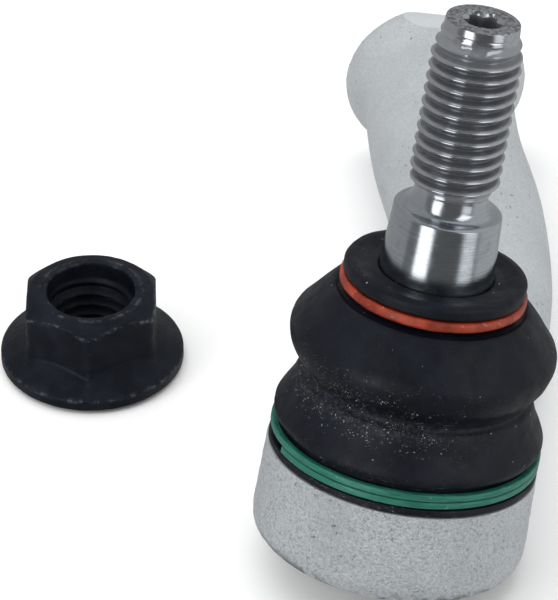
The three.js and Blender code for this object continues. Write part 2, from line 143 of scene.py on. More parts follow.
# Where the surfaces change, in the ball joint frame. A pair runs from where a look starts to where it is full
FORGING_COARSE_END_Y = 16
FORGING_FINE_START_Y = 42
DIRT_TOP_Z = -11.4
DIRT_FULL_Z = -13.2
THREAD_TONE_Z = (36.8, 38.6)
GREASE_EDGE_Z = (26.4, 25.4)
CREASE_SMEAR_Z = ((8.4, 10.2), (13.0, 11.0))
CREASE_DUST_Z = ((6.5, 9.4), (18.5, 13.5))
LOW_EDGE_DUST_Z = (5.0, 3.6)

# Millimetres in the nut's own frame: origin at the middle of its bearing face
NUT_HEIGHT = 12.0
NUT_HALF_FLATS = 9.0
HEXAGON_POWER = 34
FLANGE_R = 12.87
SHOULDER_R = 8.7
CROWN_R = 7.2
CROWN_DROP = 0.28
CHAMFER_SLOPE = 0.8

TAU = 2 * math.pi


# ---- mesh helpers ----------------------------------------------------------

def contour(profile, cols=1, steps=5, spacing=0.0, closed=False):
    """Rows of (radius, z) for each column, from (radius, z[, corner radius]) points."""
    pts = np.array([np.stack([np.broadcast_to(np.asarray(p[0], float), (cols,)),
                              np.broadcast_to(np.asarray(p[1], float), (cols,))], -1) for p in profile])
    rows = []
    for i, p in enumerate(profile):
        corner = p[2] if len(p) > 2 else 0
        if not corner:
            rows.append(pts[i])
            continue
        here = pts[i]
        back, ahead = pts[i - 1] - here, pts[(i + 1) % len(profile)] - here
        reach_back, reach_ahead = np.linalg.norm(back, axis=1), np.linalg.norm(ahead, axis=1)
        back, ahead = back / reach_back[:, None], ahead / reach_ahead[:, None]
        half = np.arccos(np.clip((back * ahead).sum(1), -0.9999, 0.9999)) / 2
        reach = np.minimum(corner / np.tan(half), 0.49 * np.minimum(reach_back, reach_ahead))
        radius = reach * np.tan(half)
        middle = back + ahead
        middle /= np.linalg.norm(middle, axis=1)[:, None]
        centre = here + middle * (radius / np.sin(half))[:, None]
        for k in range(steps + 1):
            t = k / steps
            spoke = here + (back * (1 - t) + ahead * t) * reach[:, None] - centre
            spoke *= (radius / np.linalg.norm(spoke, axis=1))[:, None]
            rows.append(centre + spoke)
    if closed:
        rows.append(rows[0])
    if spacing:
        fine = [rows[0]]
        for a, b in zip(rows, rows[1:]):
            count = max(1, int(np.ceil(np.linalg.norm(b - a, axis=1).max() / spacing)))
            fine += [a + (b - a) * k / count for k in range(1, count + 1)]
        rows = fine
    if closed:
        rows = rows[:-1]
    return np.array(rows)


def spline(points, per_span=6):
    """A smooth curve through the points."""
    p = np.array(points, float)
    p = np.vstack([2 * p[0] - p[1], p, 2 * p[-1] - p[-2]])
    out = []
    for i in range(1, len(p) - 2):
        for k in range(per_span):
            t = k / per_span
            a, b, c, d = p[i - 1], p[i], p[i + 1], p[i + 2]
            out.append(0.5 * (2 * b + (c - a) * t + (2 * a - 5 * b + 4 * c - d) * t * t
                              + (3 * b - a - 3 * c + d) * t ** 3))
    out.append(p[-2])
    return [tuple(q) for q in out]


def angles(cols):
    """The direction of each column, in radians."""
    return np.arange(cols) / cols * TAU


def revolved(rows, cols):
    """Points of a surface of revolution, rows x cols x 3; rows may differ from column to column."""
    theta = angles(cols)
    radius = np.broadcast_to(rows[..., 0], (len(rows), cols))
    height = np.broadcast_to(rows[..., 1], (len(rows), cols))
    return np.stack([radius * np.cos(theta), radius * np.sin(theta), height], -1)


def mesh_object(name, verts, faces, matrix=None, smooth_angle=None):
    """A new object placed by the matrix, with its faces turned outwards."""
    mesh = bpy.data.meshes.new(name)
    mesh.from_pydata(np.asarray(verts).tolist(), [], faces)
    if matrix is not None:
        mesh.transform(matrix)
    mesh.update()
    if signed_volume(mesh) < 0:
        mesh.flip_normals()
    obj = bpy.data.objects.new(name, mesh)
    scene.collection.objects.link(obj)
    shade(obj, smooth_angle)
    return obj


def shade(obj, smooth_angle=None):
    obj.data.polygons.foreach_set("use_smooth", [True] * len(obj.data.polygons))
    if smooth_angle:
        obj.data.set_sharp_from_angle(angle=math.radians(smooth_angle))
    obj.data.update()


def signed_volume(mesh):
    mesh.calc_loop_triangles()
    co = np.zeros(len(mesh.vertices) * 3)
    mesh.vertices.foreach_get("co", co)
    tri = np.zeros(len(mesh.loop_triangles) * 3, int)
    mesh.loop_triangles.foreach_get("vertices", tri)
    a, b, c = co.reshape(-1, 3)[tri.reshape(-1, 3)].transpose(1, 0, 2)
    return float((a * np.cross(b, c)).sum() / 6)


def grid(name, points, matrix=None, round_rows=False, smooth_angle=None):
    """A closed skin over rows x cols x 3 points whose columns close on themselves.
    round_rows joins the last row to the first. Without it, a fan closes each end."""
    rows, cols = points.shape[:2]
    index = np.arange(rows * cols).reshape(rows, cols)
    beside = np.roll(index, -1, 1)
    low, high = (index, np.roll(index, -1, 0)) if round_rows else (index[:-1], index[1:])
    low2, high2 = (beside, np.roll(beside, -1, 0)) if round_rows else (beside[:-1], beside[1:])
    faces = np.stack([low, low2, high2, high], -1).reshape(-1, 4).tolist()
    verts = points.reshape(-1, 3)
    if not round_rows:
        first, last = points[0].mean(0), points[-1].mean(0)
        verts = np.vstack([verts, first, last])
        n = rows * cols
        faces += [[n, int(b), int(a)] for a, b in zip(index[0], beside[0])]
        faces += [[n + 1, int(a), int(b)] for a, b in zip(index[-1], beside[-1])]
    return mesh_object(name, verts, faces, matrix, smooth_angle)


def lathe(name, profile, cols=128, matrix=None, closed=False, spacing=0.8, steps=5):
    """A turned shape from (radius, z[, corner radius]) points."""
    rows = contour(profile, 1, steps, spacing, closed)
    return grid(name, revolved(rows, cols), matrix, round_rows=closed)


def modified(obj, kind, **settings):
    """Applies one modifier to the object's mesh."""
    modifier = obj.modifiers.new(kind, kind)
    for key, value in settings.items():
        setattr(modifier, key, value)
    bpy.context.view_layer.update()
    mesh = bpy.data.meshes.new_from_object(obj.evaluated_get(bpy.context.evaluated_depsgraph_get()))
    obj.modifiers.clear()
    old, obj.data = obj.data, mesh
    bpy.data.meshes.remove(old)


def combine(obj, other, operation):
    """Adds the other object to the first or cuts it away, and uses it up."""
    modified(obj, "BOOLEAN", operation=operation, object=other, solver="MANIFOLD")
    mesh = other.data
    bpy.data.objects.remove(other)
    bpy.data.meshes.remove(mesh)


def joined(name, objs):
    """One object from the meshes of several, which are used up."""
    verts, faces, start = [], [], 0
    for o in objs:
        verts += [tuple(v.co) for v in o.data.vertices]
        faces += [[start + i for i in p.vertices] for p in o.data.polygons]
        start += len(o.data.vertices)
        bpy.data.objects.remove(o)
    return mesh_object(name, verts, faces)


def smoothstep(x, low, high):
    t = np.clip((np.asarray(x, float) - low) / (high - low), 0, 1)
    return t * t * (3 - 2 * t)


def waves(points, size, seed, count=24):
    """Smooth noise of about -1 to 1 at millimetre points, with features of about size."""
    rng = np.random.default_rng(seed)
    total = np.zeros(len(points))
    for _ in range(count):
        direction = rng.normal(size=3)
        direction *= TAU / size * rng.uniform(0.6, 1.4) / np.linalg.norm(direction)
        total += np.sin(points @ direction + rng.uniform(0, TAU))
    return total / math.sqrt(count) / 1.4


def roughened(obj, layers, seed, where=None):
    """Moves the vertices along their normals by layers of (feature size, height)."""
    mesh = obj.data
    n = len(mesh.vertices)
    co, no = np.zeros(n * 3), np.zeros(n * 3)
    mesh.vertices.foreach_get("co", co)
    mesh.vertices.foreach_get("normal", no)
    co, no = co.reshape(-1, 3), no.reshape(-1, 3)
    offset = sum(height * waves(co, size, seed + i) for i, (size, height) in enumerate(layers))
    if where is not None:
        offset = offset * where(co)
    mesh.vertices.foreach_set("co", (co + no * offset[:, None]).ravel())
    mesh.update()


def thread_height(phase, crest=0.05, root=0.09, rounding=0.11):
    """About 0 at the root and 1 at the crest, with both rounded; the crest is at phase 0."""
    away = np.abs((phase + 0.5) % 1 - 0.5)
    t = (away - crest) / (0.5 - root - crest)
    return 0.5 - (np.hypot(t, rounding) - np.hypot(t - 1, rounding)) / 2


def mark(obj, name, values, domain="POINT"):
    """Stores one number per vertex, or per face, for the material to read."""
    layer = obj.data.attributes.new(name, "FLOAT", domain)
    layer.data.foreach_set("value", np.asarray(values, np.float32))


# ---- material helpers ------------------------------------------------------

class Look:
    """A node material whose coordinates are millimetres in a piece's own frame."""

    def __init__(self, name, matrix, **sockets):
        self.material = bpy.data.materials.new(name)
        self.material.use_nodes = True
        self.tree = self.material.node_tree
        self.shader = self.tree.nodes["Principled BSDF"]
        for key, value in sockets.items():
            self.shader.inputs[key.replace("_", " ")].default_value = value
        coords = self.tree.nodes.new("ShaderNodeTexCoord")
        place, turn, size = matrix.decompose()
        mapping = self.add("ShaderNodeMapping", {"vector_type": "TEXTURE"}, Vector=coords.outputs["Object"])
        mapping.inputs["Location"].default_value = place
        mapping.inputs["Rotation"].default_value = turn.to_euler()
        mapping.inputs["Scale"].default_value = size
        self.at = mapping.outputs[0]

    def add(self, kind, props=None, **sockets):
        node = self.tree.nodes.new(kind)
        for key, value in (props or {}).items():
            setattr(node, key, value)
        for key, value in sockets.items():
            self.feed(node.inputs[key.replace("_", " ")], value)
        return node

    def feed(self, socket, value):
        if isinstance(value, bpy.types.NodeSocket):
            self.tree.links.new(value, socket)
        elif value is not None:
            socket.default_value = value

    def noise(self, per_mm, detail=2.0, rough=0.5, at=None, distortion=0.0):
        node = self.add("ShaderNodeTexNoise", Vector=at or self.at, Scale=per_mm, Detail=detail,
                        Roughness=rough, Distortion=distortion)
        return node.outputs["Fac"]

    def scaled(self, factors):
        """The coordinates multiplied by a factor for each axis."""
        node = self.tree.nodes.new("ShaderNodeVectorMath")
        node.operation = "MULTIPLY"
        self.tree.links.new(self.at, node.inputs[0])
        node.inputs[1].default_value = factors
        return node.outputs[0]

    def math(self, operation, a, b):
        node = self.add("ShaderNodeMath", {"operation": operation})
        self.feed(node.inputs[0], a)
        self.feed(node.inputs[1], b)
        return node.outputs[0]

    def plus(self, a, b):
        return self.math("ADD", a, b)

    def minus(self, a, b):
        return self.math("SUBTRACT", a, b)

    def times(self, a, *factors):
        for factor in factors:
            a = self.math("MULTIPLY", a, factor)
        return a

    def step(self, value, low, high, to_low=0.0, to_high=1.0):
        """A soft step from to_low, where the value is low, to to_high, where it is high."""
        node = self.add("ShaderNodeMapRange", {"interpolation_type": "SMOOTHSTEP"})
        self.feed(node.inputs["Value"], value)
        for key, number in (("From Min", low), ("From Max", high), ("To Min", to_low), ("To Max", to_high)):
            node.inputs[key].default_value = number
        return node.outputs[0]

    def band(self, value, rise, fall):
        """1 between two soft edges and 0 outside them."""
        return self.times(self.step(value, *rise), self.step(value, *fall))

    def mix(self, factor, a, b):
        node = self.add("ShaderNodeMix", {"data_type": "RGBA"})
        self.feed(node.inputs[0], factor)
        self.feed(node.inputs[6], colour(a))
        self.feed(node.inputs[7], colour(b))
        return node.outputs[2]

    def axes(self):
        return self.add("ShaderNodeSeparateXYZ", Vector=self.at).outputs

    def attribute(self, name):
        return self.add("ShaderNodeAttribute", {"attribute_name": name}).outputs["Fac"]

    def bump(self, height, depth_mm, strength):
        return self.add("ShaderNodeBump", Height=height, Strength=strength, Distance=depth_mm * MM).outputs[0]

    def finish(self, base, roughness, metallic, normal):
        """Feeds the shader; a socket given None keeps its own value."""
        self.feed(self.shader.inputs["Base Color"], colour(base))
        self.feed(self.shader.inputs["Roughness"], roughness)
        self.feed(self.shader.inputs["Metallic"], metallic)
        self.feed(self.shader.inputs["Normal"], normal)
        return self.material


def colour(value):
    """Adds the alpha to a plain colour, and leaves a socket as it is."""
    return (*value, 1) if isinstance(value, tuple) else value


def dress(obj, material):
    """Gives the object its material, as the only one in its mesh's list of materials."""
    obj.data.materials.clear()
    obj.data.materials.append(material)
    return obj


# ---- materials -------------------------------------------------------------

def zinc_forging():
    """Coarse grain with painted glints on the housing, finer along the arm, with pits, dirt near the floor
    and cut faces.
    """
    look = Look("zinc_coated_forging", LOCAL)
    _, y, z = look.axes()
    smooth_end = look.step(y, FORGING_COARSE_END_Y, FORGING_FINE_START_Y)
    grain = look.noise(2.3, 4, 0.66)
    glint_noise = look.noise(5.5, 2, 0.6)
    cloud = look.noise(0.13, 3, 0.55)
    pits = look.step(look.noise(1.3, 2, 0.5, distortion=0.5), 0.70, 0.735)
    cut = look.attribute("machined")
    coarse = look.mix(look.step(grain, 0.36, 0.64), (0.54, 0.575, 0.60), (0.74, 0.785, 0.81))
    coarse = look.mix(look.times(look.step(grain, 0.42, 0.30), 0.6), coarse, (0.26, 0.275, 0.29))
    # painted glints: near-white specks in the base colour where this noise is high
    coarse = look.mix(look.step(glint_noise, 0.56, 0.66), coarse, (0.97, 0.98, 0.99))
    fine = look.mix(look.step(grain, 0.34, 0.66), (0.69, 0.73, 0.755), (0.79, 0.83, 0.855))
    tone = look.mix(smooth_end, coarse, fine)
    tone = look.mix(look.step(cloud, 0.35, 0.75, 0.0, 0.3), tone, (0.50, 0.53, 0.55))
    tone = look.mix(look.times(pits, 0.65), tone, (0.13, 0.135, 0.14))
    low_down = look.step(z, DIRT_TOP_Z, DIRT_FULL_Z)
    dirt = look.times(low_down, look.step(look.noise(0.35, 3, 0.6), 0.44, 0.60))
    tone = look.mix(look.times(dirt, 0.75), tone, (0.07, 0.072, 0.076))
    tone = look.mix(look.times(cut, 0.7), tone, (0.66, 0.69, 0.71))
    height = look.minus(look.plus(grain, look.times(glint_noise, 0.30)), look.times(pits, 0.6))
    keep = look.plus(look.times(look.minus(1.0, smooth_end), 0.8), 0.2)
    height = look.times(height, look.times(keep, look.minus(1.0, look.times(cut, 0.85))))
    rough = look.step(look.noise(0.9, 3), 0.3, 0.7, 0.34, 0.46)
    metallic = look.minus(0.66, look.times(cut, 0.2))
    return look.finish(tone, rough, metallic, look.bump(height, 0.42, 0.9))


def turned_steel():
    """Lathe rings, painted shade in the thread grooves and drive recess, a mottled end face and grease just
    above the boot's lip.
    """
    look = Look("bright_turned_steel", LOCAL)
    z = look.axes()[2]
    rings = look.noise(1.0, 2, 0.6, at=look.scaled((0.25, 0.25, 9.0)))
    fine = look.noise(1.0, 1, 0.5, at=look.scaled((0.6, 0.6, 30.0)))
    specks = look.step(look.noise(2.6, 2, 0.6), 0.68, 0.74)
    stain = look.noise(0.5, 3, 0.6)
    groove_shade = look.attribute("groove_shade")
    end_face = look.step(z, TIP_Z - 0.25, TIP_Z - 0.1)
    thread = look.step(z, *THREAD_TONE_Z)
    tone = look.mix(look.step(rings, 0.3, 0.7), (0.51, 0.55, 0.59), (0.60, 0.645, 0.69))
    tone = look.mix(thread, tone, (0.60, 0.62, 0.655))
    # painted shade: a near-black base colour in the thread grooves and the drive recess
    tone = look.mix(look.times(groove_shade, 0.9), tone, (0.055, 0.060, 0.070))
    tone = look.mix(look.step(stain, 0.5, 0.8, 0.0, 0.35), tone, (0.30, 0.31, 0.33))
    tone = look.mix(look.times(specks, 0.5), tone, (0.16, 0.165, 0.175))
    mottle = look.times(end_face, look.step(look.noise(1.6, 4, 0.7), 0.42, 0.62))
    tone = look.mix(mottle, tone, (0.22, 0.23, 0.245))
    uneven_z = look.plus(z, look.times(look.noise(0.35, 3, 0.65), -2.4))
    grease = look.times(look.step(uneven_z, *GREASE_EDGE_Z), 0.6)
    tone = look.mix(grease, tone, (0.14, 0.15, 0.165))
    rough = look.plus(look.step(look.noise(0.7, 3, 0.6), 0.3, 0.7, 0.13, 0.20), look.times(grease, 0.2))
    rough = look.plus(rough, look.times(end_face, 0.2))
    height = look.plus(rings, look.times(fine, 0.4))
    metallic = look.minus(1.0, look.times(groove_shade, 0.6))
    return look.finish(tone, rough, metallic, look.bump(height, 0.012, 0.6))


def rubber():
    """Near-black rubber with a pale smear in the crease and dust specks, mostly on one side."""
    look = Look("boot_rubber", LOCAL, Specular_IOR_Level=0.3)
    x, y, z = look.axes()
    grain = look.noise(3.5, 3, 0.6)
    cloud = look.noise(0.16, 3, 0.6)
    tone = look.mix(look.step(cloud, 0.3, 0.75), (0.0020, 0.0034, 0.0075), (0.0052, 0.0074, 0.0140))
    side = look.step(look.plus(x, look.times(y, 0.35)), 8.0, -8.0, 0.08, 1.0)
    crease = look.band(z, *CREASE_SMEAR_Z)
    around = look.band(z, *CREASE_DUST_Z)
    low_edge = look.times(look.step(z, *LOW_EDGE_DUST_Z), 0.5)
    smear = look.times(crease, side, look.step(look.noise(2.0, 5, 0.8), 0.44, 0.66))
    tone = look.mix(look.times(smear, 0.2), tone, (0.15, 0.16, 0.175))
    zone = look.plus(look.times(look.math("MAXIMUM", around, low_edge), side), 0.04)
    clusters = look.step(look.noise(0.6, 3, 0.7), 0.42, 0.62)
    specks = look.times(look.step(look.noise(4.6, 2, 0.55), 0.63, 0.70), clusters)
    stray = look.step(look.noise(1.4, 2, 0.5), 0.745, 0.76)
    dust = look.math("MAXIMUM", look.times(specks, zone), look.times(stray, 0.45))
    tone = look.mix(dust, tone, (0.42, 0.43, 0.45))
    rough = look.plus(look.step(look.noise(0.45, 4, 0.6), 0.3, 0.7, 0.40, 0.56), look.times(smear, 0.2))
    height = look.plus(grain, look.times(look.noise(0.8, 2), 1.5))
    return look.finish(tone, rough, None, look.bump(height, 0.05, 0.5))


def red_elastomer():
    look = Look("red_ring_elastomer", LOCAL, Coat_Roughness=0.25, Coat_Weight=0.12)
    patch = look.noise(0.35, 3, 0.6)
    tone = look.mix(look.step(patch, 0.3, 0.75), (0.16, 0.013, 0.0035), (0.35, 0.038, 0.011))
    tone = look.mix(look.step(look.noise(2.2, 2, 0.6), 0.66, 0.72, 0.0, 0.6), tone, (0.62, 0.36, 0.26))
    rough = look.step(look.noise(0.9, 3), 0.3, 0.7, 0.30, 0.48)
    return look.finish(tone, rough, None, look.bump(look.noise(1.6, 3), 0.05, 0.4))


def green_coating():
    look = Look("green_ring_coating", LOCAL, Coat_Roughness=0.3, Coat_Weight=0.15)
    streak = look.noise(1.0, 3, 0.6, at=look.scaled((0.35, 0.35, 6.0)))
    tone = look.mix(look.step(streak, 0.3, 0.7), (0.009, 0.115, 0.078), (0.020, 0.185, 0.122))
    tone = look.mix(look.step(look.noise(1.7, 3, 0.65), 0.66, 0.74, 0.0, 0.7), tone, (0.008, 0.035, 0.025))
    tone = look.mix(look.step(look.noise(2.9, 2, 0.5), 0.70, 0.75, 0.0, 0.6), tone, (0.35, 0.50, 0.44))
    rough = look.step(look.noise(0.8, 3), 0.3, 0.7, 0.32, 0.5)
    return look.finish(tone, rough, 0.15, look.bump(streak, 0.03, 0.5))


def black_phosphate():
    look = Look("black_phosphate", NUT, Specular_IOR_Level=0.3)
    grain = look.noise(5.0, 3, 0.65)
    cloud = look.noise(0.3, 3, 0.6)
    tone = look.mix(look.step(cloud, 0.3, 0.75), (0.0045, 0.0065, 0.0120), (0.0115, 0.0150, 0.0240))
    tone = look.mix(look.step(grain, 0.58, 0.75, 0.0, 0.5), tone, (0.030, 0.034, 0.042))
    wear = look.times(look.attribute("edge"), look.step(look.noise(0.7, 4, 0.75), 0.46, 0.66))
    tone = look.mix(look.times(wear, 0.6), tone, (0.20, 0.215, 0.245))
    rough = look.minus(look.step(look.noise(1.2, 3), 0.3, 0.7, 0.40, 0.54), look.times(wear, 0.1))
    return look.finish(tone, rough, 0.35, look.bump(grain, 0.04, 0.6))


def pressed_steel():
    look = Look("pressed_cap_steel", LOCAL)
    grain = look.noise(1.6, 3, 0.6)
    fine = look.noise(5.0, 2, 0.6)
    tone = look.mix(look.step(grain, 0.3, 0.7), (0.44, 0.455, 0.465), (0.60, 0.61, 0.62))
    tone = look.mix(look.step(look.noise(0.2, 3), 0.4, 0.75, 0.0, 0.5), tone, (0.33, 0.34, 0.35))
    tone = look.mix(look.step(fine, 0.64, 0.72, 0.0, 0.6), tone, (0.16, 0.165, 0.17))
    rough = look.step(fine, 0.3, 0.7, 0.34, 0.5)
    return look.finish(tone, rough, 0.75, look.bump(look.plus(grain, fine), 0.04, 0.5))


def spring_steel():
    look = Look("blued_spring_steel", LOCAL)
    rings = look.noise(1.0, 2, 0.6, at=look.scaled((0.5, 0.5, 8.0)))
    tone = look.mix(look.step(look.noise(0.5, 3), 0.35, 0.7), (0.10, 0.11, 0.13), (0.19, 0.20, 0.22))
    return look.finish(tone, look.step(rings, 0.3, 0.7, 0.30, 0.42), 0.95, look.bump(rings, 0.02, 0.4))


def seat_plastic():
    look = Look("acetal_seat_plastic", LOCAL, Subsurface_Weight=0.05)
    tone = look.mix(look.step(look.noise(0.4, 3), 0.3, 0.7), (0.62, 0.58, 0.48), (0.70, 0.66, 0.56))
    rough = look.step(look.noise(1.5, 2), 0.3, 0.7, 0.38, 0.5)
    return look.finish(tone, rough, None, look.bump(look.noise(2.5, 2), 0.03, 0.4))


# ---- ball stud -------------------------------------------------------------

def stud_shank():
    """Ball, neck, land, taper and thread relief, from the bottom up."""
    ball = [(BALL_R * math.cos(a), BALL_R * math.sin(a)) for a in
            np.linspace(math.asin(BALL_FLAT_Z / BALL_R), math.acos(NECK_R / BALL_R), 40)]
    taper_start_r = TAPER_END_R + (TAPER_END_Z - TAPER_START_Z) * TAPER_PER_MM
    relief = spline([(6.72, 35.78), (5.95, 36.02), (5.32, 36.55), (4.98, 37.35), (RELIEF_R, 38.1)], 4)
    return contour([
        (1.5, BALL_FLAT_Z), *ball, (NECK_R, NECK_TOP_Z, NECK_FILLET_R),
        (LAND_R, LAND_LOW_Z, 1), (LAND_R, LAND_HIGH_Z), (taper_start_r, TAPER_START_Z, 0.2),
        (TAPER_END_R, TAPER_END_Z, 0.22), *relief,
    ], 1, 5, 0.55)


def stud_thread(theta):
    """Rows of the thread, slightly ragged and with a bruised last turn, and how deep each point lies, for
    painted shade in the grooves.
    """
    z = np.arange(THREAD_START_Z + 0.05, THREAD_END_Z + 0.001, THREAD_PITCH / 24)[:, None]
    phase = (z - THREAD_START_Z) / THREAD_PITCH - theta[None, :] / TAU - THREAD_TURN
    full = smoothstep(z, THREAD_START_Z, THREAD_START_Z + 1.9)
    full = full * (1 - 0.55 * smoothstep(z, THREAD_FADE_START_Z, THREAD_FADE_END_Z))
    full = full * (1 - smoothstep(z, THREAD_END_Z - 0.9, THREAD_END_Z - 0.1))
    root = RELIEF_R + (THREAD_ROOT_R - RELIEF_R) * smoothstep(z, 38.4, 40)
    radius = root + (THREAD_R - root) * full * thread_height(phase)
    bruise = np.exp(-((theta[None, :] - BRUISE_ANGLE) / 0.5) ** 2)
    bruise = bruise * smoothstep(z, 57.8, 58.9) * (1 - smoothstep(z, 60.2, 61.0))
    points = np.stack([np.cos(theta)[None, :] * radius, np.sin(theta)[None, :] * radius, z + 0 * radius], -1)
    ragged = waves(points.reshape(-1, 3), 1.8, 11).reshape(radius.shape)
    radius = radius + bruise * 0.16 * ragged + 0.016 * ragged * thread_height(phase)
    depth = smoothstep(THREAD_R - radius, 0.16, 0.5) * full
    return np.stack([radius, z + 0 * radius], -1), depth


def stud_recess(theta):
    """The six-lobed drive recess in the tip, from its mouth down."""
    cols = len(theta)
    swell = (1 + np.cos(6 * theta)) / 2
    lobes = RECESS_WAIST_R + (RECESS_R - RECESS_WAIST_R) * swell ** 0.8
    floor_z = TIP_Z - RECESS_DEPTH
    return contour([
        (np.full(cols, 3.02), TIP_Z), (lobes * 0.35 + 1.93, TIP_Z - 0.12, 0.08),
        (lobes, TIP_Z - 0.62, 0.08), (lobes * 0.985, floor_z + 0.3), (lobes * 0.93, floor_z),
        (0.5 + 0 * lobes, floor_z - 0.7),
    ], cols, 3, 0.4)


def stud():
    cols = 168
    theta = angles(cols)
    shank = stud_shank()
    thread, groove_shade = stud_thread(theta)
    pilot = contour([(THREAD_ROOT_R, THREAD_END_Z + 0.05, 0.1), (TIP_R + 0.04, TIP_Z - 0.5),
                     (TIP_R, TIP_Z, 0.28), (3.2, TIP_Z)], 1, 4, 0.45)
    recess = stud_recess(theta)
    profile = np.concatenate([np.broadcast_to(shank, (len(shank), cols, 2)), thread,
                              np.broadcast_to(pilot, (len(pilot), cols, 2)), recess])
    obj = grid("ball_stud_turned", revolved(profile, cols), LOCAL, smooth_angle=48)
    # painted shade: this mark darkens the thread grooves and, deeper in, the drive recess
    depth = np.zeros((len(profile), cols))
    depth[len(shank):len(shank) + len(groove_shade)] = groove_shade
    depth[-len(recess):] = smoothstep(TIP_Z - recess[..., 1], 0.2, 1.2)
    mark(obj, "groove_shade", np.append(depth.ravel(), (0, 0)))
    return obj


# ---- housing with arm ------------------------------------------------------

def arm_centre(t):
    """The arm's centre line, from 0 at the housing to 1 at the head."""
    p = np.array(ARM_BOW, float)
    place = min(max(t, 0.0), 1.0) * (len(p) - 1)
    i = min(int(place), len(p) - 2)
    w = place - i
    a, b, c, d = p[max(i - 1, 0)], p[i], p[i + 1], p[min(i + 2, len(p) - 1)]
    v0, v1 = (c - a) / 2, (d - b) / 2
    x, y = (2 * b - 2 * c + v0 + v1) * w ** 3 + (-3 * b + 3 * c - 2 * v0 - v1) * w * w + v0 * w + b
    return np.array([x, y, ARM_START_Z + ARM_RISE * y / ARM_LENGTH])


def arm_frame(t):
    """The directions sideways, up and ahead at a place on the arm."""
    ahead = arm_centre(t + 0.004) - arm_centre(t - 0.004)
    ahead /= np.linalg.norm(ahead)
    side = np.cross(ahead, (0, 0, 1))
    side /= np.linalg.norm(side)
    return side, np.cross(side, ahead), ahead


def arm():
    """A rounded box section near the housing that turns into a round one."""
    turn = (np.arange(72) + 0.5) / 72 * TAU
    rings = []
    for t in np.linspace(0, 1, 110):
        side, up, _ = arm_frame(t)
        power = 0.75 + 0.25 * smoothstep(t, 0.1, 0.6)
        growth = (ARM_HALF_WIDTH - ARM_ROOT_HALF_HEIGHT) * smoothstep(t, 0.1, 0.62)
        half_height = ARM_ROOT_HALF_HEIGHT + growth
        across = np.sign(np.cos(turn)) * np.abs(np.cos(turn)) ** power * ARM_HALF_WIDTH
        along = np.sign(np.sin(turn)) * np.abs(np.sin(turn)) ** power * half_height
        rings.append(arm_centre(t) + across[:, None] * side + along[:, None] * up)
    return grid("arm", np.array(rings))


HEAD_SIDE, HEAD_UP, HEAD_AHEAD = arm_frame(1)
HEAD_ROWS = np.stack([HEAD_SIDE, HEAD_UP, HEAD_AHEAD, arm_centre(1)], 1)
HEAD = Matrix([*HEAD_ROWS.tolist(), (0, 0, 0, 1)])


def flat_cutter(sign):
    """A milling cut across the head, with the cutter's round run-out."""
    low, high, clear_r = HEAD_LENGTH - WRENCH_FLAT_LENGTH, HEAD_LENGTH + 3, HEAD_R + 3
    profile = contour([(WRENCH_FLAT_HALF, high), (WRENCH_FLAT_HALF, low, 0.8), (clear_r, low - 0.6),
                       (clear_r, high)], 1, 8)[:, 0]
    sections = np.array([[(x, sign * up, ahead) for up, ahead in profile] for x in (-20, 20)])
    return grid("flat_cutter", sections, HEAD)


def rod_thread_cutter():
    """The female thread for the tie rod, with a drilled point and a countersink."""
    cols = 96
    theta = angles(cols)
    low, high = HEAD_LENGTH - ROD_BORE_DEPTH, HEAD_LENGTH - 1.0
    z = np.arange(low, high, ROD_THREAD_PITCH / 12)[:, None]
    phase = (z - low) / ROD_THREAD_PITCH - theta[None, :] / TAU
    full = smoothstep(z, low + 2, low + 4)
    depth = (ROD_THREAD_MAJOR_R - ROD_THREAD_MINOR_R) * full * (1 - thread_height(phase + 0.5))
    radius = ROD_THREAD_MINOR_R + depth
    body = np.stack([radius, z + 0 * radius], -1)
    start = contour([(0.6, low - 3.4), (ROD_THREAD_MINOR_R - 0.2, low - 0.2)], cols, 3, 1.0)
    end = contour([(ROD_THREAD_MAJOR_R + 0.1, HEAD_LENGTH - 0.9),
                   (ROD_THREAD_MAJOR_R + 2.0, HEAD_LENGTH + 1)], cols, 3, 1.0)
    return grid("rod_thread_cutter", revolved(np.concatenate([start, body, end]), cols), HEAD)


def cast_texture(co):
    """How strong the cast surface is: weaker on the arm, and none on the housing's bottom face."""
    along_arm = 1 - 0.75 * smoothstep(co[:, 1], 16, 40)
    return along_arm * smoothstep(co[:, 2], HOUSING_BOTTOM_Z, HOUSING_BOTTOM_Z + 1.4)


def forged_blank():
    """Housing body, arm and head run together into one skin, before any cutting."""
    top_z = RIM_Z + CUTTING_SPARE
    body = lathe("body", [(AXIS_R, HOUSING_BOTTOM_Z), (HOUSING_R, HOUSING_BOTTOM_Z, HOUSING_EDGE_R),
                          (HOUSING_R, HOUSING_SIDE_Z), (HOUSING_TOP_R, top_z),
                          (AXIS_R, top_z)], 128, steps=10)
    head = lathe("head", [(AXIS_R, HEAD_ROOT_Z), (ARM_HALF_WIDTH - 1.2, HEAD_ROOT_Z),
                          (ARM_HALF_WIDTH, HEAD_FLARE_START_Z, 1), (HEAD_R, HEAD_FLARE_END_Z, 0.6),
                          (HEAD_R, HEAD_LENGTH, HEAD_EDGE_R), (AXIS_R, HEAD_LENGTH)], 128, HEAD, steps=10)
    forging = joined("housing_forging", [body, arm(), head])
    modified(forging, "REMESH", mode="VOXEL", voxel_size=0.42, use_smooth_shade=True)
    modified(forging, "SMOOTH", factor=0.5, iterations=14)
    roughened(forging, [(9.0, 0.05), (2.6, 0.035), (1.1, 0.032)], 21, cast_texture)
    return forging


